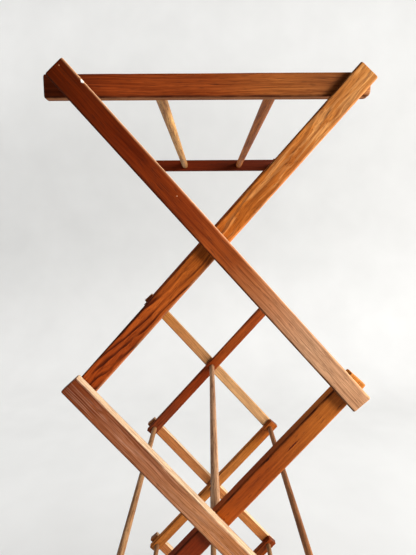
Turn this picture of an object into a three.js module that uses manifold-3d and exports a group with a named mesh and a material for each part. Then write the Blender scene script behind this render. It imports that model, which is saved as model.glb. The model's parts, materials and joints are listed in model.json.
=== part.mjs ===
// A wooden accordion clothes drying rack, standing open.
//
// Two side frames of flat slats fold like lazy tongs. In each tier of a frame an outer slat runs from
// upper left to lower right and an inner slat crosses it from upper right to lower left. Round dowels
// join the two frames: they are the pivots, and laundry hangs over them. At the top, two shelf rails
// swing on the right-hand dowel and hook over the left-hand one, which locks the rack open.
//
// Millimetres. X runs right, Y runs along the dowels from the front frame to the back frame, Z is up.
// The origin is on the floor, under the middle of the rack.

import * as THREE from "three";
import { mergeVertices } from "three/addons/utils/BufferGeometryUtils.js";
import Module from "manifold-3d";

const wasm = await Module();
wasm.setup();

// Driving dimensions, in millimetres and degrees.
const TIERS = 4;
const OPEN_ANGLE = 47.9; // slat to floor, with the rack locked open
const PIVOT_SPACING = 261; // from a slat's middle hole to either end hole
const SLAT_OVERHANG = 20; // from an end hole to the slat's square end
const HOOK_SPACING = 250; // from the top middle hole to the left-hand dowel that the rails hook over
const SLAT_WIDTH = 28;
const SLAT_THICKNESS = 16;
const SLAT_EASING = 2; // radius along the slat's long edges
const RACK_DEPTH = 706; // over the outside faces of the two frames
const LAYER_GAP = 1; // between neighbouring layers of a frame

const DOWEL_DIAMETER = 14;
const SHELF_DOWEL_DIAMETER = 15.5;
const DOWEL_CHAMFER = 1;
const HOLE_CLEARANCE = 0.4; // radial, in a slat or rail that turns on its dowel
const SLAT_SOCKET_DEPTH = 11;
const RAIL_SOCKET_DEPTH = 9;
const SOCKET_END_GAP = 0.3; // between a dowel's end and the bottom of its socket
const DRILL_OVERRUN = 1; // how far a drilled cut starts outside the wood

const RAIL_LENGTH = 410;
const RAIL_HEIGHT = 29;
const RAIL_THICKNESS = 14;
const RAIL_RISE = 3; // rail centreline above the dowel that it swings on
const RAIL_PAST_PIVOT = 21; // from that dowel's middle to the rail's right-hand end
const RAIL_CORNER = 5; // radius of the two corners at the pivot end
const RAIL_EASING = 1.5;
const SHELF_DOWEL_XS = { left: -72, right: 77 }; // from the rack's middle

const ROUND_SEGMENTS = 24;
const ARC_SEGMENTS = 5;

// What follows from them.
const openAngle = THREE.MathUtils.degToRad(OPEN_ANGLE);
const halfWidth = PIVOT_SPACING * Math.cos(openAngle);
const halfTier = PIVOT_SPACING * Math.sin(openAngle);
const slatLength = 2 * (PIVOT_SPACING + SLAT_OVERHANG);
const holeRadius = (diameter) => diameter / 2 + HOLE_CLEARANCE;

// A foot is a slat's square end, which stands on its lower corner.
const footPivotHeight = SLAT_OVERHANG * Math.sin(openAngle) + (SLAT_WIDTH / 2) * Math.cos(openAngle);
const crossingHeight = (tier) => footPivotHeight + halfTier * (2 * (TIERS - tier) + 1);
const jointHeight = (tier) => crossingHeight(tier) - halfTier; // under the tier of that number
const topPivotHeight = crossingHeight(1) + halfTier;
const hookX = -HOOK_SPACING * Math.cos(openAngle);
const hookHeight = crossingHeight(1) + HOOK_SPACING * Math.sin(openAngle);

// Distance of each layer's middle from the rack's middle plane, and of its inside face.
const outerLayer = RACK_DEPTH / 2 - SLAT_THICKNESS / 2;
const innerLayer = outerLayer - SLAT_THICKNESS - LAYER_GAP;
const railLayer = innerLayer - SLAT_THICKNESS / 2 - LAYER_GAP - RAIL_THICKNESS / 2;
const outerFace = outerLayer - SLAT_THICKNESS / 2;
const innerFace = innerLayer - SLAT_THICKNESS / 2;
const railFace = railLayer - RAIL_THICKNESS / 2;

const SIDES = [
  { name: "front", sign: -1 },
  { name: "back", sign: 1 },
];

const WOOD = {
  outerSlat: { color: 0x8a4522, roughness: 0.42, metalness: 0 },
  innerSlat: { color: 0xb8752f, roughness: 0.42, metalness: 0 },
  rail: { color: 0x7a3a18, roughness: 0.45, metalness: 0 },
  dowel: { color: 0xc49a63, roughness: 0.5, metalness: 0 },
};

// A closed geometry as a manifold-3d solid.
function toSolid(geometry) {
  const bare = geometry.clone();
  bare.deleteAttribute("normal");
  bare.deleteAttribute("uv");
  const merged = mergeVertices(bare, 1e-4);
  return new wasm.Manifold(
    new wasm.Mesh({
      numProp: 3,
      vertProperties: merged.getAttribute("position").array,
      triVerts: new Uint32Array(merged.index.array),
    }),
  );
}

function toGeometry(solid) {
  const { numProp, numVert, vertProperties, triVerts } = solid.getMesh();
  const positions = new Float32Array(numVert * 3);
  for (let i = 0; i < numVert; i++) {
    positions.set(vertProperties.subarray(i * numProp, i * numProp + 3), i * 3);
  }
  const geometry = new THREE.BufferGeometry();
  geometry.setAttribute("position", new THREE.BufferAttribute(positions, 3));
  geometry.setIndex(new THREE.BufferAttribute(triVerts, 1));
  geometry.computeVertexNormals();
  return geometry;
}

// Cuts round holes along Y. Each hole has its x, its z, the y of its two ends and its dowel's diameter.
function drill(geometry, holes) {
  let solid = toSolid(geometry);
  for (const { x, z, from, to, diameter } of holes) {
    const r = holeRadius(diameter);
    const bit = new THREE.CylinderGeometry(r, r, Math.abs(to - from), ROUND_SEGMENTS);
    bit.translate(x, (from + to) / 2, z);
    solid = solid.subtract(toSolid(bit));
  }
  return toGeometry(solid);
}

// A hole right through a board of the given thickness, or a socket in the face towards the rack's
// middle, which is the +Y face on the front frame and the -Y face on the back one.
function throughHole(x, z, thickness) {
  const end = thickness / 2 + DRILL_OVERRUN;
  return { x, z, from: -end, to: end, diameter: DOWEL_DIAMETER };
}

function socket(x, z, thickness, depth, side, diameter = DOWEL_DIAMETER) {
  const face = -side.sign * (thickness / 2);
  return { x, z, from: face + side.sign * depth, to: face - side.sign * DRILL_OVERRUN, diameter };
}

// A straight slat along X with eased long edges, its width along Z.
function slatBlank() {
  const y = SLAT_THICKNESS / 2;
  const z = SLAT_WIDTH / 2;
  const r = SLAT_EASING;
  const section = new THREE.Shape();
  section.moveTo(-y + r, -z);
  section.lineTo(y - r, -z);
  section.absarc(y - r, -z + r, r, -Math.PI / 2, 0);
  section.lineTo(y, z - r);
  section.absarc(y - r, z - r, r, 0, Math.PI / 2);
  section.lineTo(-y + r, z);
  section.absarc(-y + r, z - r, r, Math.PI / 2, Math.PI);
  section.lineTo(-y, -z + r);
  section.absarc(-y + r, -z + r, r, Math.PI, 1.5 * Math.PI);
  const blank = new THREE.ExtrudeGeometry(section, {
    depth: slatLength,
    bevelEnabled: false,
    curveSegments: 2,
  });
  blank.translate(0, 0, -slatLength / 2);
  // The section's own x becomes Y, its y becomes Z and the extrusion runs along X.
  blank.applyMatrix4(
    new THREE.Matrix4().makeBasis(
      new THREE.Vector3(0, 1, 0),
      new THREE.Vector3(0, 0, 1),
      new THREE.Vector3(1, 0, 0),
    ),
  );
  return blank;
}

// An outer slat holds all three of its dowels in blind sockets. In the top tier the left-hand one
// carries the hooked end of the shelf and sits a little lower than the rails' pivot.
function outerSlat(side, tier) {
  const xs = [tier === 1 ? -HOOK_SPACING : -PIVOT_SPACING, 0, PIVOT_SPACING];
  return drill(
    slatBlank(),
    xs.map((x) => socket(x, 0, SLAT_THICKNESS, SLAT_SOCKET_DEPTH, side)),
  );
}

// An inner slat turns on the dowels of its neighbours. Only an end that meets no outer slat, at the
// top of the rack and at the feet, holds a dowel of its own in a blind socket.
function innerSlat(side, tier) {
  const xs = [-PIVOT_SPACING, 0, PIVOT_SPACING];
  return drill(
    slatBlank(),
    xs.map((x) => {
      const isFoot = tier === TIERS && x < 0;
      const isTop = tier === 1 && x > 0;
      return isFoot || isTop
        ? socket(x, 0, SLAT_THICKNESS, SLAT_SOCKET_DEPTH, side)
        : throughHole(x, 0, SLAT_THICKNESS);
    }),
  );
}

// The side outline of a shelf rail, with the dowel that it swings on at (0, 0). The hook is an open
// notch in the lower edge. Its inner flank is upright, and its outer flank slopes along the way that
// the left-hand dowel leaves as the rack starts to fold.
function railOutline() {
  const right = RAIL_PAST_PIVOT;
  const left = right - RAIL_LENGTH;
  const bottom = RAIL_RISE - RAIL_HEIGHT / 2;
  const top = RAIL_RISE + RAIL_HEIGHT / 2;
  const seatX = hookX - halfWidth;
  const seatY = hookHeight - topPivotHeight;
  const seatRadius = holeRadius(DOWEL_DIAMETER);
  const exitAngle = 1.5 * Math.PI - openAngle; // the dowel's first movement, down and to the left
  const flankAngle = exitAngle - Math.PI / 2;
  const flankX = seatX + seatRadius * Math.cos(flankAngle);
  const flankY = seatY + seatRadius * Math.sin(flankAngle);
  const mouthX = flankX + (bottom - flankY) / Math.tan(exitAngle);
  const r = RAIL_CORNER;

  const outline = new THREE.Shape();
  outline.moveTo(left, bottom);
  outline.lineTo(mouthX, bottom);
  outline.lineTo(flankX, flankY);
  outline.absarc(seatX, seatY, seatRadius, flankAngle, 0, true);
  outline.lineTo(seatX + seatRadius, bottom);
  outline.lineTo(right - r, bottom);
  outline.absarc(right - r, bottom + r, r, -Math.PI / 2, 0);
  outline.lineTo(right, top - r);
  outline.absarc(right - r, top - r, r, 0, Math.PI / 2);
  outline.lineTo(left, top);
  return outline;
}

function shelfRail(side) {
  const board = new THREE.ExtrudeGeometry(railOutline(), {
    depth: RAIL_THICKNESS - 2 * RAIL_EASING,
    bevelThickness: RAIL_EASING,
    bevelSize: RAIL_EASING,
    bevelOffset: -RAIL_EASING,
    bevelSegments: 1,
    curveSegments: ARC_SEGMENTS,
  });
  board.translate(0, 0, -RAIL_THICKNESS / 2 + RAIL_EASING);
  board.rotateX(Math.PI / 2);
  return drill(board, [
    throughHole(0, 0, RAIL_THICKNESS),
    ...Object.values(SHELF_DOWEL_XS).map((x) =>
      socket(x - halfWidth, RAIL_RISE, RAIL_THICKNESS, RAIL_SOCKET_DEPTH, side, SHELF_DOWEL_DIAMETER),
    ),
  ]);
}

// A dowel along Y with chamfered ends.
function dowel(length, diameter) {
  const r = diameter / 2;
  const end = length / 2;
  const c = DOWEL_CHAMFER;
  const profile = [
    [0, -end],
    [r - c, -end],
    [r, -end + c],
    [r, end - c],
    [r - c, end],
    [0, end],
  ].map(([radius, y]) => new THREE.Vector2(radius, y));
  return new THREE.LatheGeometry(profile, ROUND_SEGMENTS);
}

// The length of a dowel whose ends sit in sockets cut into the faces at the given distance from the
// middle plane.
function dowelLength(face, socketDepth) {
  return 2 * (face + socketDepth - SOCKET_END_GAP);
}

function piece(name, geometry, finish) {
  const mesh = new THREE.Mesh(geometry, new THREE.MeshStandardMaterial(finish));
  mesh.name = name;
  return mesh;
}

function tierGroup(tier) {
  const group = new THREE.Group();
  group.position.z = crossingHeight(tier);
  for (const side of SIDES) {
    const outer = piece(`outer_bar_${side.name}_${tier}`, outerSlat(side, tier), WOOD.outerSlat);
    outer.position.y = side.sign * outerLayer;
    outer.rotation.y = openAngle;
    const inner = piece(`inner_bar_${side.name}_${tier}`, innerSlat(side, tier), WOOD.innerSlat);
    inner.position.y = side.sign * innerLayer;
    inner.rotation.y = -openAngle;
    group.add(outer, inner);
  }
  return group;
}

const longDowel = dowelLength(outerFace, SLAT_SOCKET_DEPTH);
const shortDowel = dowelLength(innerFace, SLAT_SOCKET_DEPTH);
const shelfDowel = dowelLength(railFace, RAIL_SOCKET_DEPTH);

function placedDowel(name, x, z, length, diameter = DOWEL_DIAMETER) {
  const mesh = piece(name, dowel(length, diameter), WOOD.dowel);
  mesh.position.set(x, 0, z);
  return mesh;
}

function pivotDowels() {
  const dowels = [
    placedDowel("top_dowel_left", hookX, hookHeight, longDowel),
    placedDowel("top_dowel_right", halfWidth, topPivotHeight, shortDowel),
  ];
  for (let tier = 1; tier <= TIERS; tier++) {
    dowels.push(placedDowel(`crossing_dowel_${tier}`, 0, crossingHeight(tier), longDowel));
  }
  for (let tier = 1; tier < TIERS; tier++) {
    dowels.push(placedDowel(`left_dowel_${tier}`, -halfWidth, jointHeight(tier), longDowel));
    dowels.push(placedDowel(`right_dowel_${tier}`, halfWidth, jointHeight(tier), longDowel));
  }
  dowels.push(placedDowel("foot_dowel_left", -halfWidth, footPivotHeight, shortDowel));
  dowels.push(placedDowel("foot_dowel_right", halfWidth, footPivotHeight, longDowel));
  return dowels;
}

// The shelf, in a group whose origin is the dowel that it swings on.
function shelf() {
  const group = new THREE.Group();
  group.position.set(halfWidth, 0, topPivotHeight);
  for (const side of SIDES) {
    const rail = piece(`shelf_rail_${side.name}`, shelfRail(side), WOOD.rail);
    rail.position.y = side.sign * railLayer;
    group.add(rail);
  }
  for (const [end, x] of Object.entries(SHELF_DOWEL_XS)) {
    const name = `shelf_dowel_${end}`;
    group.add(placedDowel(name, x - halfWidth, RAIL_RISE, shelfDowel, SHELF_DOWEL_DIAMETER));
  }
  return group;
}

const rack = new THREE.Group();
for (let tier = 1; tier <= TIERS; tier++) {
  rack.add(tierGroup(tier));
}
rack.add(...pivotDowels(), shelf());

export default rack;
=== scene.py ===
"""A wooden accordion clothes drying rack: its surfaces, light and camera.

Every slat, dowel and rail is built again here with eased and worn edges, drilled sockets and its
own board of wood, and takes the place of the plain solid that the frame holds for it. Each piece
has its grain along its own X axis. Metres, and colours as sRGB from 0 to 255 unless linear.
"""
import json
import math
import random
import zlib

import bmesh
import bpy
from mathutils import Matrix, Vector, noise


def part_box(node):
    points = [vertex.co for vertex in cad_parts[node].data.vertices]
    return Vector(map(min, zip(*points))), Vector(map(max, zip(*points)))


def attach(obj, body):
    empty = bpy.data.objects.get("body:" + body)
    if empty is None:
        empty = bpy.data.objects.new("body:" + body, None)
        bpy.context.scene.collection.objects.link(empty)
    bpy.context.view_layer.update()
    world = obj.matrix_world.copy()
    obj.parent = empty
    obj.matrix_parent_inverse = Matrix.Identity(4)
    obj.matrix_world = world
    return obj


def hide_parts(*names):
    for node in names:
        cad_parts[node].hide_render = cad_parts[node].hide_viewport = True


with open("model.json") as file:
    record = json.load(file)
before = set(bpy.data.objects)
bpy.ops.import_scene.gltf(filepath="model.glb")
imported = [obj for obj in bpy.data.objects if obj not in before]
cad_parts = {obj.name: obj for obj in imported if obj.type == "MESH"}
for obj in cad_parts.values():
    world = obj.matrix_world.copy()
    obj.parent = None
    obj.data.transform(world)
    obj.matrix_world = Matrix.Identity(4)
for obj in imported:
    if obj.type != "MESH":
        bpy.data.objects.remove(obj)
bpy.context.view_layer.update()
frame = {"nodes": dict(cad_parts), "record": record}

MM = 0.001

# Sizes of the pieces, as in the frame.
TIERS = 4
OPEN_ANGLE = math.radians(47.9)
PIVOT_SPACING = 261 * MM
SLAT_LENGTH = 562 * MM
SLAT_WIDTH = 28 * MM
SLAT_THICKNESS = 16 * MM
SLAT_SOCKET = 11 * MM
HOOK_SPACING = 250 * MM  # from the top crossing to the dowel that the rails hook over
DOWEL_RADIUS = 7 * MM
SHELF_DOWEL_RADIUS = 7.75 * MM
TURNING_GAP = 0.4 * MM  # round a dowel where a slat or rail turns on it
GLUED_GAP = 0.08 * MM  # round a dowel where it is glued in
RAIL_HEIGHT = 29 * MM
RAIL_THICKNESS = 14 * MM
RAIL_SOCKET = 9 * MM
RAIL_CORNER = 5 * MM

# Wear and finish of the pieces.
EASING = 2.2 * MM  # usual radius along a board's long edges
EASING_SPREAD = 0.9 * MM  # how far wear makes that radius wander
END_EASING = 2.2 * MM  # radius round a board's sawn ends
ROUND_END_SHARE = 0.5  # of that easing, at a rail's rounded end
ROUND_END_STOP = 0.02 * MM  # what a rounded end stays short of its box
HOLE_CHAMFER = 0.5 * MM
NOTCH_RUN_OUT = 3 * MM  # how far the notch's cutter reaches below the rail
DOWEL_CHAMFER = 0.9 * MM
DOWEL_SLACK = 0.04 * MM  # what a turned dowel is under its size
DOWEL_WANDER = 0.05 * MM  # and how far its radius wanders

# How finely the meshes are cut.
STATION = 9 * MM  # spacing of a board's cross sections
ARC_STEPS = 4
ROUND_END_STEPS = 9
HOLE_STEPS = 48
NOTCH_STEPS = 14
DOWEL_STEPS = 40
DOWEL_STATIONS = 40
SMOOTH_ANGLE = math.radians(35)

SIDES = {"front": 1, "back": -1}  # which way along Y the middle of the rack lies
SEEDS = 1000  # few enough to keep the noise's coordinates small and exact


def seed_of(name):
    return zlib.crc32(name.encode())


def middle(node):
    low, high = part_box(node)
    return (low + high) / 2


# ---------------------------------------------------------------------------
# Meshes
# ---------------------------------------------------------------------------


def new_object(name, bm):
    bmesh.ops.recalc_face_normals(bm, faces=bm.faces)
    mesh = bpy.data.meshes.new(name)
    bm.to_mesh(mesh)
    bm.free()
    obj = bpy.data.objects.new(name, mesh)
    bpy.context.scene.collection.objects.link(obj)
    return obj


def skin(bm, rings):
    """Closes a row of vertex rings into a solid with a flat face at each end."""
    rows = [[bm.verts.new(point) for point in ring] for ring in rings]
    count = len(rows[0])
    for here, there in zip(rows, rows[1:]):
        for i in range(count):
            j = (i + 1) % count
            bm.faces.new((here[i], here[j], there[j], there[i]))
    bm.faces.new(rows[0])
    bm.faces.new(reversed(rows[-1]))


def stations(length):
    """Cross sections along a board, with closer ones where its ends are eased."""
    half = length / 2
    ends = [END_EASING * part for part in (0, 0.08, 0.3, 0.6, 1)]
    count = round((length - 2 * END_EASING) / STATION)
    inner = [-half + END_EASING + (length - 2 * END_EASING) * i / count for i in range(1, count)]
    return [-half + e for e in ends] + inner + [half - e for e in reversed(ends)]


def end_inset(x, length):
    """How far the end easing draws in the cross section at x."""
    depth = END_EASING - min(END_EASING, length / 2 - abs(x))
    return END_EASING - math.sqrt(max(END_EASING**2 - depth**2, 0)) if depth > 0 else 0


def worn_radius(x, corner, seed):
    """The easing of one long edge at x: it wanders slowly, with a few small bruises."""
    slow_pace, quick_pace = 9, 55  # noise cells per metre
    slow = noise.noise(Vector((x * slow_pace, corner * 5.3, seed)))
    quick = noise.noise(Vector((x * quick_pace, corner * 7.7, seed + 3)))
    bruise = max(0, quick - 0.45) * 3
    return EASING + EASING_SPREAD * (0.8 * slow + 0.25 * quick + bruise)


def section(x, half_y, half_z, radii):
    """One rounded rectangle around the board's axis."""
    ring = []
    corners = [(1, -1, -90), (1, 1, 0), (-1, 1, 90), (-1, -1, 180)]
    for (side_y, side_z, start), r in zip(corners, radii):
        cy, cz = side_y * (half_y - r), side_z * (half_z - r)
        for step in range(ARC_STEPS + 1):
            angle = math.radians(start + 90 * step / ARC_STEPS)
            ring.append(Vector((x, cy + r * math.cos(angle), cz + r * math.sin(angle))))
    return ring


def board(name, length, width, thickness, round_end=0):
    """A straight board along X, its width along Z.

    round_end is the radius of the corners at its +X end.
    """
    seed = seed_of(name) % SEEDS
    bm = bmesh.new()
    rings = []
    xs = stations(length)
    start = length / 2 - round_end
    if round_end:
        xs = [x for x in xs if x < start]
        for i in range(ROUND_END_STEPS):
            xs.append(start + round_end * math.sin(math.pi / 2 * i / ROUND_END_STEPS))
        xs.append(length / 2 - ROUND_END_STOP)
    for x in xs:
        inset = end_inset(x, length)
        drop = 0
        if round_end and x > start:
            along = x - start
            drop = round_end - math.sqrt(max(round_end**2 - along**2, 0))
            inset = ROUND_END_SHARE * inset
        radii = [worn_radius(x, corner, seed) for corner in range(4)]
        rings.append(section(x, thickness / 2 - inset, width / 2 - inset - drop, radii))
    skin(bm, rings)
    return new_object(name, bm)


def hole_cutter(bm, x, z, radius, start, stop):
    """A round bit along Y from start to stop, flared where it breaks out of the wood at stop."""
    way = math.copysign(1, stop - start)
    profile = [
        (start, radius),
        (stop - way * HOLE_CHAMFER, radius),
        (stop, radius + HOLE_CHAMFER),
        (stop + way * MM, radius + HOLE_CHAMFER),
    ]
    rings = []
    for y, r in profile:
        angles = [2 * math.pi * i / HOLE_STEPS for i in range(HOLE_STEPS)]
        rings.append([Vector((x + r * math.cos(a), y, z + r * math.sin(a))) for a in angles])
    skin(bm, rings)


def drill(obj, holes, thickness, inward):
    """Cuts round holes. Each is (x, z, radius, depth); a depth of None goes right through."""
    for i, (x, z, radius, depth) in enumerate(holes):
        bm = bmesh.new()
        face = inward * thickness / 2
        if depth is None:
            hole_cutter(bm, x, z, radius, 0, face)
            cut(obj, new_object(f"bit_{i}", bm))
            bm = bmesh.new()
            hole_cutter(bm, x, z, radius, inward * MM, -face)
        else:
            hole_cutter(bm, x, z, radius, face - inward * depth, face)
        cut(obj, new_object(f"bit_{i}", bm))


def cut(obj, tool):
    modifier = obj.modifiers.new("cut", "BOOLEAN")
    modifier.operation = "DIFFERENCE"
    modifier.solver = "EXACT"
    modifier.object = tool
    graph = bpy.context.evaluated_depsgraph_get()
    mesh = bpy.data.meshes.new_from_object(obj.evaluated_get(graph))
    old = obj.data
    obj.modifiers.clear()
    obj.data = mesh
    bpy.data.meshes.remove(old)
    bpy.data.objects.remove(tool)


def finish_mesh(obj):
    """Smooth shading that keeps flat faces flat and real edges sharp."""
    obj.data.shade_smooth()
    obj.data.set_sharp_from_angle(angle=SMOOTH_ANGLE)
    weighted = obj.modifiers.new("flat faces stay flat", "WEIGHTED_NORMAL")
    weighted.keep_sharp = True


def slat(name, side, places, sockets):
    """A slat with three holes. sockets says for each whether it is a blind, glued one."""
    obj = board(name, SLAT_LENGTH, SLAT_WIDTH, SLAT_THICKNESS)
    holes = []
    for x, blind in zip(places, sockets):
        if blind:
            holes.append((x, 0, DOWEL_RADIUS + GLUED_GAP, SLAT_SOCKET))
        else:
            holes.append((x, 0, DOWEL_RADIUS + TURNING_GAP, None))
    drill(obj, holes, SLAT_THICKNESS, SIDES[side])
    finish_mesh(obj)
    return obj


def dowel(name, length, radius):
    """A turned dowel along X, its radius wandering by a few hundredths, with chamfered ends."""
    seed = seed_of(name) % SEEDS
    half = length / 2
    turned = length - 2 * DOWEL_CHAMFER
    xs = [-half]
    for i in range(DOWEL_STATIONS + 1):
        xs.append(-half + DOWEL_CHAMFER + turned * i / DOWEL_STATIONS)
    xs.append(half)
    pace, girth = 14, 0.8  # noise cells per metre along it, and the circle round it
    bm = bmesh.new()
    rings = []
    for x in xs:
        ring = []
        for i in range(DOWEL_STEPS):
            angle = 2 * math.pi * i / DOWEL_STEPS
            y, z = math.cos(angle), math.sin(angle)
            wander = noise.noise(Vector((x * pace, y * girth, z * girth + seed)))
            r = radius - DOWEL_SLACK + DOWEL_WANDER * wander
            if abs(x) == half:
                r -= DOWEL_CHAMFER
            ring.append(Vector((x, r * y, r * z)))
        rings.append(ring)
    skin(bm, rings)
    obj = new_object(name, bm)
    finish_mesh(obj)
    return obj


def hook_cutter(hook_x, bottom, seat_z):
    """The notch that drops over the left-hand top dowel.

    One of its flanks is upright and one slopes outwards.
    """
    r = DOWEL_RADIUS + TURNING_GAP
    leave = 1.5 * math.pi - OPEN_ANGLE  # the way the dowel leaves as the rack folds
    flank = leave - math.pi / 2
    below = bottom - NOTCH_RUN_OUT
    outline = [(hook_x + r, below), (hook_x + r, seat_z)]
    for i in range(1, NOTCH_STEPS + 1):
        angle = flank * i / NOTCH_STEPS
        outline.append((hook_x + r * math.cos(angle), seat_z + r * math.sin(angle)))
    end_x, end_z = outline[-1]
    outline.append((end_x + (below - end_z) / math.tan(leave), below))
    reach = RAIL_THICKNESS
    bm = bmesh.new()
    skin(bm, [[Vector((x, y, z)) for x, z in outline] for y in (-reach, reach)])
    return new_object("notch_tool", bm)


def shelf_rail(name, side):
    """A rail along X. Its notch, pivot hole and sockets go where the frame has their dowels."""
    low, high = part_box(name)
    centre = (low + high) / 2
    obj = board(name, high.x - low.x, RAIL_HEIGHT, RAIL_THICKNESS, RAIL_CORNER)
    hook = middle("top_dowel_left") - centre
    cut(obj, hook_cutter(hook.x, -RAIL_HEIGHT / 2, hook.z))
    pivot = middle("top_dowel_right") - centre
    holes = [(pivot.x, pivot.z, DOWEL_RADIUS + TURNING_GAP, None)]
    for end in ("left", "right"):
        at = middle(f"shelf_dowel_{end}") - centre
        holes.append((at.x, at.z, SHELF_DOWEL_RADIUS + GLUED_GAP, RAIL_SOCKET))
    drill(obj, holes, RAIL_THICKNESS, SIDES[side])
    finish_mesh(obj)
    return obj


# ---------------------------------------------------------------------------
# Wood
# ---------------------------------------------------------------------------


def linear(colour):
    """An sRGB colour of 0 to 255 as linear RGBA."""
    out = []
    for value in colour:
        c = value / 255
        out.append(c / 12.92 if c <= 0.04045 else ((c + 0.055) / 1.055) ** 2.4)
    return (*out, 1)


# Linear colours.
DARK_GRAIN = (0.025, 0.008, 0.003, 1)
DEEPEN = (0.50, 0.36, 0.28, 1)  # what the darkest and palest fibres multiply the wood's colour by
LIGHTEN = (1.42, 1.48, 1.52, 1)
RUB_AND_HIGHLIGHT = (1.7, 1.6, 1.5, 1)  # what a rubbed arris multiplies it by, half mixed with bare wood: wear, and a painted highlight on the lit side
BARE_WOOD = (0.5, 0.28, 0.13, 1)
# Painted shade: the dark colour of the arrises on a board's shaded side.
PAINTED_ARRIS_SHADE = (0.05, 0.009, 0.002, 1)

# How a piece looks where its own wood doesn't say.
PLAIN_LOOK = {
    "fibre": 0.35,  # how much the fine fibres show
    "fineness": (9.0, 420.0),  # their noise's scale along and across the grain
    "pores": 0.5,
    "blotch": 0.3,  # how much the soft clouds show
    "warp": 4.0,  # how far slow waves bend the rings, in millimetres
    "sway": 7.0,  # the scale of those waves
    "meander": 0.8,  # how far quicker waves bend them, in millimetres
    "distortion": 1.2,
    "faint": 0.6,  # what is left of a ring where it is faintest
    "edges": (0.3, -0.5),  # the arrises on its +Z and -Z side: above 0 rubbed pale with a painted highlight, below 0 painted shade
    "ends": (85, 48, 25),  # colour of its end grain
    "gloss": 0.42,  # roughness of its finish
}
END_GRAIN = 0.7  # how much of the end grain's own colour shows
SHINE = 0.08


class Tree:
    """A short way to write a material's nodes."""

    def __init__(self, name):
        self.material = bpy.data.materials.new(name)
        self.material.use_nodes = True
        self.nodes = self.material.node_tree.nodes
        self.links = self.material.node_tree.links
        self.shader = self.nodes["Principled BSDF"]

    def add(self, kind, inputs=None, **settings):
        node = self.nodes.new(kind)
        for key, value in settings.items():
            setattr(node, key, value)
        for key, value in (inputs or {}).items():
            self.put(node.inputs[key], value)
        return node

    def put(self, socket, value):
        if isinstance(value, bpy.types.NodeSocket):
            self.links.new(value, socket)
        else:
            socket.default_value = value

    def math(self, operation, a, b=0.0, clamp=False):
        node = self.add("ShaderNodeMath", {0: a, 1: b}, operation=operation, use_clamp=clamp)
        return node.outputs[0]

    def vector(self, operation, a, b):
        return self.add("ShaderNodeVectorMath", {0: a, 1: b}, operation=operation).outputs[0]

    def noise(self, vector, scale, detail=3.0, roughness=0.55):
        inputs = {"Vector": vector, "Scale": scale, "Detail": detail, "Roughness": roughness}
        return self.add("ShaderNodeTexNoise", inputs).outputs["Fac"]

    def length(self, vector):
        node = self.add("ShaderNodeVectorMath", {0: vector}, operation="LENGTH")
        return node.outputs["Value"]

    def span(self, value, low, high, out_low=0.0, out_high=1.0, smooth=False):
        """A value from low to high as one from out_low to out_high, and no further."""
        inputs = {"Value": value, "From Min": low, "From Max": high}
        inputs |= {"To Min": out_low, "To Max": out_high}
        kind = "SMOOTHSTEP" if smooth else "LINEAR"
        return self.add("ShaderNodeMapRange", inputs, interpolation_type=kind).outputs["Result"]

    def ramp(self, factor, stops):
        """Colours along a factor: stops are (place, colour)."""
        node = self.add("ShaderNodeValToRGB", {"Fac": factor})
        elements = node.color_ramp.elements
        for element in list(elements)[1:]:
            elements.remove(element)
        elements[0].position, elements[0].color = stops[0][0], linear(stops[0][1])
        for place, colour in stops[1:]:
            elements.new(place).color = linear(colour)
        return node.outputs["Color"]

    def mix(self, factor, a, b, blend="MIX"):
        node = self.add("ShaderNodeMix", data_type="RGBA", blend_type=blend)
        self.put(node.inputs[0], factor)
        self.put(node.inputs[6], a)
        self.put(node.inputs[7], b)
        return node.outputs[2]


def bend(tree, place, shift, look):
    """Slow waves that bend the rings along the board, and quicker ones that make them meander."""
    bent = place
    for reach, pace in ((look["warp"] * MM, look["sway"]), (look["meander"] * MM, 19.0)):
        at = tree.vector("ADD", tree.vector("MULTIPLY", place, (1.0, 2.5, 2.5)), shift)
        sway = tree.add(
            "ShaderNodeTexNoise",
            {"Vector": at, "Scale": pace, "Detail": 2.0, "Roughness": 0.5},
        ).outputs["Color"]
        sway = tree.vector("SUBTRACT", sway, (0.5, 0.5, 0.5))
        sway = tree.vector("MULTIPLY", sway, (0.0, 2 * reach, 2 * reach))
        bent = tree.vector("ADD", bent, sway)
    return bent


def late_wood(tree, bent, along, spacing, heart, look):
    """The dark part of each growth ring: 1 at its edge and 0 in the early wood."""
    ring_at = tree.vector("SUBTRACT", bent, (0.0, *heart))
    if "bow" in look:
        bow = tree.math("MULTIPLY", tree.math("MULTIPLY", along, along), look["bow"])
        bow = tree.add("ShaderNodeCombineXYZ", {2: bow}).outputs[0]
        ring_at = tree.vector("SUBTRACT", ring_at, bow)
    ring_at = tree.vector("MULTIPLY", ring_at, (0.05, 1.0, 1.0))
    wave = tree.add(
        "ShaderNodeTexWave",
        {
            "Vector": ring_at,
            "Scale": math.pi / 10 / spacing,
            "Distortion": look["distortion"],
            "Detail": 2.0,
            "Detail Scale": 0.6,
            "Detail Roughness": 0.6,
        },
        wave_type="RINGS",
        rings_direction="X",
        wave_profile="SAW",
    ).outputs["Fac"]
    if "core" in look:
        late = tree.span(wave, *look["core"], smooth=True)
    else:
        late = tree.math("POWER", wave, 2.2)
    patch = tree.noise(tree.vector("MULTIPLY", bent, (14.0, 90.0, 90.0)), 1.0, 1.0)
    patch = tree.span(patch, 0.35, 0.6, look["faint"], 1.0, smooth=True)
    return tree.math("MULTIPLY", late, patch)


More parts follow.
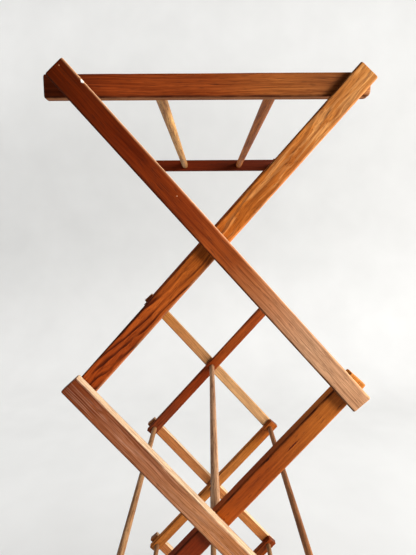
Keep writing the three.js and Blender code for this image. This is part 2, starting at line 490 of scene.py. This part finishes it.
def arrises_worn_lit_and_shaded(tree, base, place, y, z, half, edges):
    """The arrises, where two faces meet along the board.

    They are rubbed pale, which is wear with a painted highlight on the lit side, or painted dark as
    shade on the shaded side.
    """
    from_y = tree.math("ABSOLUTE", y)
    from_z = tree.math("ABSOLUTE", z)
    arris = tree.math(
        "MINIMUM",
        tree.span(from_y, half[1] - 2.8 * MM, half[1] - 0.9 * MM, smooth=True),
        tree.span(from_z, half[2] - 3.4 * MM, half[2] - 1.0 * MM, smooth=True),
    )
    arris_breakup = tree.noise(tree.vector("MULTIPLY", place, (40.0, 90.0, 90.0)), 1.0)
    arris = tree.math("MULTIPLY", arris, tree.span(arris_breakup, 0.3, 0.6, 0.4, 1.0))
    # A pale arris is wear with a painted highlight; a dark one is painted shade.
    for way, amount in zip((1, -1), edges):
        here = tree.math("GREATER_THAN", tree.math("MULTIPLY", z, way), 0.0)
        here = tree.math("MULTIPLY", tree.math("MULTIPLY", arris, here), abs(amount))
        worn = PAINTED_ARRIS_SHADE
        if amount > 0:
            worn = tree.mix(0.5, tree.mix(1.0, base, RUB_AND_HIGHLIGHT, "MULTIPLY"), BARE_WOOD)
        base = tree.mix(here, base, worn)
    return base


def add_marks(tree, base, place, marks):
    """Ragged spots of colour, such as a chip or a knot."""
    for spot, radius, stretch, colour in marks:
        offset = tree.vector("SUBTRACT", place, spot)
        offset = tree.vector("MULTIPLY", offset, (1 / stretch, 1.0, 1.0))
        away = tree.length(offset)
        ragged = tree.noise(place, 900.0, 2.0)
        ragged = tree.span(ragged, 0.3, 0.7, -0.35 * radius, 0.35 * radius)
        away = tree.math("ADD", away, ragged)
        inside = tree.span(away, 1.1 * radius, 0.8 * radius, smooth=True)
        base = tree.mix(inside, base, linear(colour))
    return base


def wood(name, half, tones, rings, marks=(), **own_look):
    """A board or dowel of wood with its grain along the piece's X axis.

    half is half its length, thickness and width. tones are its colours from one end to the other.
    rings is (spacing, y, z, contrast): the growth rings and where their heart lies in the section.
    marks are (place, radius, stretch along the grain, colour).
    own_look changes PLAIN_LOOK, and may add
      flank, under: painted light on the narrow face at +Z or -Z: the lit face painted paler, the
          underside given a painted sheen;
      figure: pale shine as (colour, amount, fineness across the grain, where along X it begins);
      bow: how much the rings curve from end to end, per metre;
      core: where across a ring the late wood begins and where it is full;
      late_colour: the late wood's colour;
      fade: what is left of the rings' contrast towards the +X end.
    """
    look = PLAIN_LOOK | own_look
    draw = random.Random(seed_of(name))
    tree = Tree(name)
    place = tree.add("ShaderNodeTexCoord").outputs["Object"]
    x, y, z = tree.add("ShaderNodeSeparateXYZ", {0: place}).outputs
    shift = Vector([draw.uniform(-3, 3) for _ in range(3)])
    bent = bend(tree, place, shift, look)
    spacing, *heart, contrast = rings
    late = late_wood(tree, bent, x, spacing, heart, look)

    # The fine patterns: fibres, pores and soft clouds.
    along_grain, across_grain = look["fineness"]
    fibre_at = tree.vector("MULTIPLY", bent, (along_grain, across_grain, across_grain))
    streak = tree.noise(tree.vector("ADD", fibre_at, shift), 1.0, 4.0, 0.6)
    pore = tree.noise(tree.vector("MULTIPLY", bent, (70.0, 1500.0, 1500.0)), 1.0, 1.0, 0.4)
    pore = tree.span(pore, 0.58, 0.72, smooth=True)
    cloud_at = tree.vector("MULTIPLY", bent, (7.0, 60.0, 60.0))
    cloud = tree.noise(tree.vector("ADD", cloud_at, shift), 1.0, 3.0, 0.6)

    # Colour from end to end, then painted light on the narrow faces, shine, rings, fibres, clouds
    # and pores.
    along = tree.math("ADD", x, tree.span(cloud, 0.0, 1.0, -0.02, 0.02))
    base = tree.ramp(tree.span(along, -half[0], half[0]), tones)
    # Painted light: the narrow face that the window lights is painted paler, and a rail's underside
    # gets a painted sheen.
    for key, way in (("flank", 1), ("under", -1)):
        if key in look:
            reach = tree.math("MULTIPLY", z, way)
            painted_face_light = tree.span(reach, half[2] - 1.2 * MM, half[2] - 0.3 * MM)
            base = tree.mix(painted_face_light, base, linear(look[key]))
    if "figure" in look:
        light, amount, finer, begin = look["figure"]
        shine = tree.noise(tree.vector("MULTIPLY", bent, (14.0, finer, finer)), 1.0, 2.0)
        shine = tree.span(shine, 0.48, 0.62, 0.0, amount, smooth=True)
        shine = tree.math("MULTIPLY", shine, tree.span(along, begin, begin + 0.1))
        base = tree.mix(shine, base, linear(light))
    if "late_colour" in look:
        deep = linear(look["late_colour"])
    else:
        deep = tree.mix(0.45, base, DARK_GRAIN)
    strength = tree.math("MULTIPLY", late, contrast)
    if "fade" in look:
        left = tree.span(along, -0.1, 0.1, 1.0, look["fade"], smooth=True)
        strength = tree.math("MULTIPLY", strength, left)
    base = tree.mix(strength, base, deep)
    for pattern, low, high, amount in (
        (streak, 0.32, 0.68, look["fibre"]),
        (cloud, 0.3, 0.7, look["blotch"]),
    ):
        shade = tree.mix(tree.span(pattern, low, high), DEEPEN, LIGHTEN)
        base = tree.mix(amount, base, shade, "MULTIPLY")
    base = tree.mix(tree.math("MULTIPLY", pore, look["pores"]), base, DARK_GRAIN)

    base = arrises_worn_lit_and_shaded(tree, base, place, y, z, half, look["edges"])
    end = tree.math("GREATER_THAN", tree.math("ABSOLUTE", x), half[0] - 0.35 * MM)
    base = tree.mix(tree.math("MULTIPLY", end, END_GRAIN), base, linear(look["ends"]))
    base = add_marks(tree, base, place, marks)

    # The finish: duller in patches, in the pores and towards the narrow faces.
    gloss = look["gloss"]
    rough = tree.span(cloud, 0.2, 0.8, gloss - 0.05, gloss + 0.09)
    edge_on = tree.span(tree.math("ABSOLUTE", z), half[2] - 2.5 * MM, half[2] - 0.5 * MM)
    rough = tree.math("ADD", rough, tree.math("MULTIPLY", edge_on, 0.4), clamp=True)
    rough = tree.math("ADD", rough, tree.math("MULTIPLY", pore, 0.15))
    height = tree.math("MULTIPLY", streak, 0.35)
    height = tree.math("SUBTRACT", height, tree.math("MULTIPLY", pore, 0.9))
    height = tree.math("SUBTRACT", height, tree.math("MULTIPLY", late, 0.25))
    bump = {"Height": height, "Strength": 0.35, "Distance": 0.25 * MM}
    bump = tree.add("ShaderNodeBump", bump).outputs[0]
    tree.put(tree.shader.inputs["Base Color"], base)
    tree.put(tree.shader.inputs["Roughness"], rough)
    tree.put(tree.shader.inputs["Normal"], bump)
    tree.shader.inputs["Specular IOR Level"].default_value = SHINE
    return tree.material


SLAT_HALF = (SLAT_LENGTH / 2, SLAT_THICKNESS / 2, SLAT_WIDTH / 2)
DOWEL_HALF = (0.36, 1.0, 1.0)  # more than a dowel has, since it shows no arris and no end grain


# ---------------------------------------------------------------------------
# The rack
# ---------------------------------------------------------------------------

# The boards that the rack was made from. Each slat was cut from its own.
# In these boards, flank and under paint light on the narrow faces, and edges below 0 paint shade
# along an arris.
RED = {
    "tones": [
        (0.0, (82, 25, 2)),
        (0.25, (109, 38, 8)),
        (0.34, (125, 49, 13)),
        (0.42, (131, 53, 16)),
        (0.5, (154, 72, 26)),
        (0.55, (146, 70, 27)),
        (0.62, (163, 95, 53)),
        (0.7, (177, 118, 80)),
        (0.82, (196, 149, 112)),
        (1.0, (198, 147, 107)),
    ],
    "rings": (2.6 * MM, 0.05, 0.012, 0.35),
    "fibre": 0.75,
    "fineness": (9.0, 650.0),
    "flank": (190, 150, 116),
    "edges": (0.8, -0.95),
}
GOLD = {
    "tones": [
        (0.0, (150, 65, 18)),
        (0.16, (157, 66, 20)),
        (0.35, (166, 80, 26)),
        (0.53, (188, 103, 34)),
        (0.64, (190, 109, 40)),
        (0.73, (178, 100, 36)),
        (0.85, (180, 108, 44)),
        (1.0, (182, 116, 52)),
    ],
    "rings": (9.0 * MM, -0.012, 0.010, 0.93),
    "warp": 11.0,
    "sway": 8.0,
    "meander": 4.5,
    "distortion": 2.0,
    "bow": 0.38,
    "late_colour": (70, 20, 4),
    "core": (0.45, 0.85),
    "faint": 0.2,
    "fade": 0.4,
    "fibre": 0.65,
    "blotch": 0.6,
    "figure": ((226, 170, 104), 0.36, 190.0, -0.04),
    "edges": (-0.95, 0.8),
}
BROWN = {
    "tones": [
        (0.0, (122, 53, 20)),
        (0.2, (156, 92, 57)),
        (0.3, (168, 108, 72)),
        (0.44, (185, 125, 82)),
        (0.54, (182, 117, 70)),
        (1.0, (182, 120, 76)),
    ],
    "rings": (1.7 * MM, 0.01, -0.06, 0.5),
    "fibre": 0.95,
    "blotch": 0.2,
    "fineness": (5.0, 760.0),
    "figure": ((222, 190, 166), 0.15, 900.0, -0.4),
    "flank": (200, 170, 136),
    "edges": (-0.7, -0.8),
}
UMBER = {
    "tones": [
        (0.0, (127, 54, 21)),
        (0.2, (144, 79, 45)),
        (0.3, (142, 82, 50)),
        (0.42, (158, 98, 65)),
        (0.7, (160, 99, 60)),
        (0.8, (168, 115, 78)),
        (1.0, (173, 123, 87)),
    ],
    "rings": (2.2 * MM, 0.04, -0.02, 0.5),
    "fibre": 0.95,
    "fineness": (5.0, 760.0),
    "flank": (196, 164, 128),
    "edges": (-0.7, -0.8),
}
ORANGE = {
    "tones": [
        # Painted shadow: everything below 0.44 is darkened where the outer slat in front shades it.
        (0.44, (124, 44, 12)),
        (0.52, (160, 74, 18)),
        (0.58, (152, 68, 18)),
        (0.68, (148, 66, 18)),
        (0.8, (158, 81, 26)),
        (0.9, (174, 96, 33)),
        (0.96, (168, 90, 32)),
        (0.98, (188, 117, 48)),
        (1.0, (190, 120, 50)),
    ],
    "rings": (4.0 * MM, 0.02, -0.03, 0.35),
    "fibre": 0.4,
    "ends": (214, 140, 54),
    "edges": (-1.0, 0.3),
}
TAN = {
    "tones": [
        # Painted shadow: darker at the left end, by the joint.
        (0.08, (164, 90, 40)),
        (0.14, (186, 120, 60)),
        (0.3, (198, 135, 81)),
        (0.55, (206, 157, 105)),
        (1.0, (204, 157, 108)),
    ],
    "rings": (3.0 * MM, 0.03, 0.02, 0.4),
    "fibre": 0.6,
    "flank": (190, 142, 92),
    "edges": (-0.4, -0.6),
}
PALE = {
    "tones": [
        (0.0, (182, 113, 62)),
        (0.25, (183, 116, 66)),
        (0.4, (192, 126, 74)),
        (0.7, (190, 120, 64)),
        (1.0, (186, 112, 56)),
    ],
    "rings": (3.0 * MM, 0.03, -0.02, 0.45),
    "fibre": 0.6,
    "flank": (216, 180, 140),
    "edges": (-0.4, -0.6),
}
RUSSET = {
    "tones": [
        (0.0, (112, 37, 8)),
        (0.22, (130, 50, 14)),
        (0.3, (112, 40, 13)),
        (0.4, (114, 40, 13)),
        (0.55, (131, 53, 15)),
        (0.7, (141, 61, 20)),
        (0.87, (141, 65, 21)),
        (1.0, (134, 56, 16)),
    ],
    "rings": (3.6 * MM, -0.03, 0.02, 0.6),
    "fibre": 0.8,
    "edges": (-0.8, -0.3),
}
CHESTNUT = RUSSET | {
    "tones": [
        (0.0, (128, 58, 28)),
        (0.16, (124, 52, 24)),
        (0.28, (136, 54, 15)),
        (0.45, (134, 50, 13)),
        (0.58, (150, 68, 20)),
        (0.74, (151, 69, 22)),
        (0.84, (143, 62, 20)),
        (1.0, (156, 74, 26)),
    ],
}
AMBER = {
    "tones": [
        (0.0, (178, 106, 46)),
        (0.5, (184, 112, 50)),
        (0.7, (186, 114, 52)),
        (0.82, (184, 108, 40)),
        (0.9, (176, 94, 31)),
        (1.0, (164, 84, 28)),
    ],
    "rings": (3.2 * MM, 0.02, 0.03, 0.5),
    "fibre": 0.7,
    "edges": (-0.8, -0.3),
}
SLAT_WOOD = {
    "outer_bar_front_1": RED,
    "inner_bar_front_1": GOLD,
    "outer_bar_front_2": BROWN,
    "inner_bar_front_2": ORANGE,
    "outer_bar_front_3": PALE,
    "inner_bar_front_3": AMBER,
    "outer_bar_front_4": RED,
    "inner_bar_front_4": ORANGE,
    "outer_bar_back_1": UMBER,
    "inner_bar_back_1": RUSSET,
    "outer_bar_back_2": TAN,
    "inner_bar_back_2": CHESTNUT,
    "outer_bar_back_3": PALE,
    "inner_bar_back_3": AMBER,
    "outer_bar_back_4": PALE,
    "inner_bar_back_4": RUSSET,
}
RAIL_WOOD = {
    "front": {
        "tones": [
            # Painted shadow: the dark left end is partly the shadow of the outer slat in front of
            # it.
            (0.0, (92, 34, 11)),
            (0.12, (112, 44, 15)),
            (0.2, (134, 57, 20)),
            (0.5, (141, 65, 24)),
            (0.75, (155, 86, 36)),
            (0.92, (158, 92, 43)),
            (1.0, (176, 122, 74)),
        ],
        "rings": (2.0 * MM, 0.03, 0.03, 0.6),
        "fibre": 0.8,
        "fineness": (12.0, 560.0),
        "faint": 0.3,
        # A painted sheen on the underside.
        "under": (158, 104, 68),
        "edges": (-0.3, -1.0),
    },
    "back": {
        "tones": [
            (0.0, (92, 28, 6)),
            (0.3, (102, 33, 8)),
            (0.5, (96, 30, 5)),
            (0.65, (84, 26, 4)),
            (1.0, (96, 32, 7)),
        ],
        "rings": (2.4 * MM, -0.03, 0.03, 0.5),
        "fibre": 0.6,
        "edges": (-0.6, -0.6),
    },
}
DOWEL_WOOD = {
    "rings": (2.2 * MM, 0.01, 0.004, 0.5),
    "fibre": 0.9,
    "fineness": (14.0, 380.0),
    "pores": 0.8,
    "blotch": 0.7,
    "gloss": 0.5,
}
DOWEL_TONES = {
    "shelf_dowel_left": (182, 136, 80),
    "shelf_dowel_right": (160, 91, 31),
    "crossing_dowel_2": (174, 134, 99),
    "right_dowel_2": (146, 95, 57),
}
OTHER_DOWELS = (150, 110, 73)
# A white chip and two specks, and lower down a dot, a nick and a long streak.
MARKS = {
    "outer_bar_front_1": (
        ((-0.2449, -0.0075, 0.0125), 1.7 * MM, 1.6, (240, 236, 228)),
        ((-0.2757, -0.0080, 0.0052), 0.7 * MM, 1.0, (196, 130, 90)),
        ((-0.0732, -0.0080, 0.0044), 0.8 * MM, 1.0, (206, 150, 112)),
    ),
    "inner_bar_front_2": (
        ((0.0152, -0.0080, -0.0011), 1.0 * MM, 1.0, (58, 20, 9)),
        ((0.1180, -0.0080, 0.0125), 1.2 * MM, 3.0, (52, 16, 6)),
        ((0.1560, -0.0080, 0.0012), 1.1 * MM, 10.0, (84, 30, 8)),
    ),
}


def stand_for(obj, node, body):
    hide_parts(node)
    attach(obj, body)


BODIES = frame["record"]["behaviour"]["bodies"]
BODY_OF = {node: body for body, nodes in BODIES.items() for node in nodes}


def build_slats():
    for side in SIDES:
        for tier in range(1, TIERS + 1):
            outer = f"outer_bar_{side}_{tier}"
            inner = f"inner_bar_{side}_{tier}"
            foot = tier == TIERS
            top = tier == 1
            hook = -HOOK_SPACING if top else -PIVOT_SPACING
            for node, places, sockets, turn in (
                (outer, (hook, 0, PIVOT_SPACING), (True, True, True), OPEN_ANGLE),
                (inner, (-PIVOT_SPACING, 0, PIVOT_SPACING), (foot, False, top), -OPEN_ANGLE),
            ):
                obj = slat(f"{node}_wood", side, places, sockets)
                obj.location = middle(node)
                obj.rotation_euler = (0, turn, 0)
                marks = MARKS.get(node, ())
                grain = wood(f"{node}_grain", SLAT_HALF, marks=marks, **SLAT_WOOD[node])
                obj.data.materials.append(grain)
                stand_for(obj, node, BODY_OF[node])


def build_dowels():
    for node in frame["nodes"]:
        if "dowel" not in node:
            continue
        low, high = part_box(node)
        radius = SHELF_DOWEL_RADIUS if "shelf" in node else DOWEL_RADIUS
        obj = dowel(f"{node}_wood", high.y - low.y, radius)
        obj.location = (low + high) / 2
        obj.rotation_euler = (0, 0, math.pi / 2)
        tone = DOWEL_TONES.get(node, OTHER_DOWELS)
        grain = wood(f"{node}_grain", DOWEL_HALF, [(0.0, tone)], **DOWEL_WOOD)
        obj.data.materials.append(grain)
        stand_for(obj, node, BODY_OF[node])


def build_rails():
    for side in SIDES:
        node = f"shelf_rail_{side}"
        low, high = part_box(node)
        obj = shelf_rail(node, side)
        obj.name = f"{node}_wood"
        obj.location = (low + high) / 2
        half = ((high.x - low.x) / 2, RAIL_THICKNESS / 2, RAIL_HEIGHT / 2)
        obj.data.materials.append(wood(f"{node}_grain", half, **RAIL_WOOD[side]))
        stand_for(obj, node, "shelf")


build_slats()
build_dowels()
build_rails()


# ---------------------------------------------------------------------------
# Floor, backdrop, light and camera
# ---------------------------------------------------------------------------


WALL_Y = 3.0
WALL_TOP = 6.0
SWEEP_RADIUS = 0.8
SWEEP_STEPS = 16
FLOOR_FRONT = -6.0
PAPER_REACH = 7.0  # to each side
PAPER_TONES = ((180, 180, 179), (190, 190, 189))
DIM_SPOT = (0.0, -1.3, 0.0)  # where the paper glows least
WINDOW_HEIGHT = 1.7

# The room's own light on the rack, and how bright the room is where the camera sees past the paper.
ROOM_LIGHT = 0.1
ROOM_SEEN = 0.82

# Where the camera looks, in radians: down, to the right and turned about its line of sight.
CAMERA_PITCH, CAMERA_YAW, CAMERA_ROLL = 0.1143, -0.0014, -0.0058
CAMERA_ASIDE = -0.0083  # from the first crossing, along X
CAMERA_ABOVE = 0.0152
CAMERA_AWAY = 0.4965  # from the front slats' faces
SENSOR_WIDTH = 36  # millimetres, as is the lens
LENS = 26.28


def glow(tree, place):
    """How strongly the paper glows, as a lit wall does.

    It is dimmest on the floor in front of the rack, at the window's height and on its side.
    """
    away = tree.length(tree.vector("SUBTRACT", place, DIM_SPOT))
    level = tree.span(away, 0.9, 2.8, 0.15, 0.86, smooth=True)
    across, _, height = tree.add("ShaderNodeSeparateXYZ", {0: place}).outputs
    level = tree.math("MULTIPLY", level, tree.span(across, -2.0, 2.0, 1.12, 0.84))
    from_window = tree.math("ABSOLUTE", tree.math("SUBTRACT", height, WINDOW_HEIGHT))
    from_window = tree.span(from_window, 0.2, 1.7, 0.5, 0.9, smooth=True)
    return tree.math("MULTIPLY", level, from_window)


def backdrop():
    """A pale floor that sweeps up into a wall behind the rack."""
    profile = [(FLOOR_FRONT, 0.0)]
    for i in range(SWEEP_STEPS + 1):
        angle = math.pi / 2 * i / SWEEP_STEPS
        y = WALL_Y - SWEEP_RADIUS + SWEEP_RADIUS * math.sin(angle)
        profile.append((y, SWEEP_RADIUS - SWEEP_RADIUS * math.cos(angle)))
    profile.append((WALL_Y, WALL_TOP))
    bm = bmesh.new()
    left, right = [
        [bm.verts.new((x, y, z)) for y, z in profile] for x in (-PAPER_REACH, PAPER_REACH)
    ]
    for i in range(len(profile) - 1):
        bm.faces.new((left[i], right[i], right[i + 1], left[i + 1]))
    obj = new_object("backdrop", bm)
    for face in obj.data.polygons:
        face.use_smooth = True
    tree = Tree("pale_paper")
    place = tree.add("ShaderNodeTexCoord").outputs["Object"]
    dark, pale = PAPER_TONES
    colour = tree.mix(tree.noise(place, 3.0, 2.0), linear(dark), linear(pale))
    tree.put(tree.shader.inputs["Base Color"], colour)
    tree.shader.inputs["Roughness"].default_value = 0.9
    tree.put(tree.shader.inputs["Emission Color"], colour)
    tree.put(tree.shader.inputs["Emission Strength"], glow(tree, place))
    obj.data.materials.append(tree.material)


def area_light(name, place, aim, size, power, colour=(1, 1, 1)):
    data = bpy.data.lights.new(name, "AREA")
    data.shape = "RECTANGLE"
    data.size, data.size_y = size
    data.energy = power
    data.color = colour
    obj = bpy.data.objects.new(name, data)
    obj.visible_camera = False
    obj.location = place
    obj.rotation_euler = (Vector(aim) - Vector(place)).to_track_quat("-Z", "Y").to_euler()
    bpy.context.scene.collection.objects.link(obj)


def lights():
    """A large window on the right, a small light in front and a weak one behind on the left."""
    area_light(
        "window",
        place=(4.4, -0.7, 1.9),
        aim=(0.0, 0.0, 1.2),
        size=(2.6, 3.4),
        power=335,
        colour=(1.0, 0.985, 0.96),
    )
    area_light(
        "front",
        place=(1.9, -2.1, 2.0),
        aim=(0.0, 0.0, 1.2),
        size=(0.9, 0.9),
        power=72,
    )
    area_light(
        "back_fill",
        place=(-3.2, 1.6, 2.8),
        aim=(0.0, 0.0, 1.1),
        size=(2.4, 2.4),
        power=34,
    )
    world = bpy.data.worlds.new("soft_room")
    world.use_nodes = True
    nodes, links = world.node_tree.nodes, world.node_tree.links
    nodes["Background"].inputs["Color"].default_value = (1, 0.995, 0.985, 1)
    # Where the room itself is seen it is as pale as the paper, but it adds little light.
    ray = nodes.new("ShaderNodeLightPath")
    level = nodes.new("ShaderNodeMapRange")
    level.inputs["To Min"].default_value = ROOM_LIGHT
    level.inputs["To Max"].default_value = ROOM_SEEN
    links.new(ray.outputs["Is Camera Ray"], level.inputs["Value"])
    links.new(level.outputs["Result"], nodes["Background"].inputs["Strength"])
    bpy.context.scene.world = world


def camera():
    """Stands where the photographer did: level with the first crossing, half a metre in front."""
    level = Vector((math.cos(CAMERA_YAW), -math.sin(CAMERA_YAW), 0))
    ahead = Vector((
        math.sin(CAMERA_YAW) * math.cos(CAMERA_PITCH),
        math.cos(CAMERA_YAW) * math.cos(CAMERA_PITCH),
        -math.sin(CAMERA_PITCH),
    ))
    upright = level.cross(ahead)
    right = level * math.cos(CAMERA_ROLL) + upright * math.sin(CAMERA_ROLL)
    up = upright * math.cos(CAMERA_ROLL) - level * math.sin(CAMERA_ROLL)
    turn = Matrix((right, up, -ahead)).transposed()
    crossing = middle("crossing_dowel_1")
    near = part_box("outer_bar_front_1")[0].y
    place = Vector((crossing.x + CAMERA_ASIDE, near - CAMERA_AWAY, crossing.z + CAMERA_ABOVE))
    data = bpy.data.cameras.new("camera")
    data.sensor_width = SENSOR_WIDTH
    data.lens = LENS
    data.clip_start = 0.01
    obj = bpy.data.objects.new("camera", data)
    obj.matrix_world = Matrix.Translation(place) @ turn.to_4x4()
    bpy.context.scene.collection.objects.link(obj)
    bpy.context.scene.camera = obj


backdrop()
lights()
camera()
bpy.context.scene.view_settings.view_transform = "Standard"
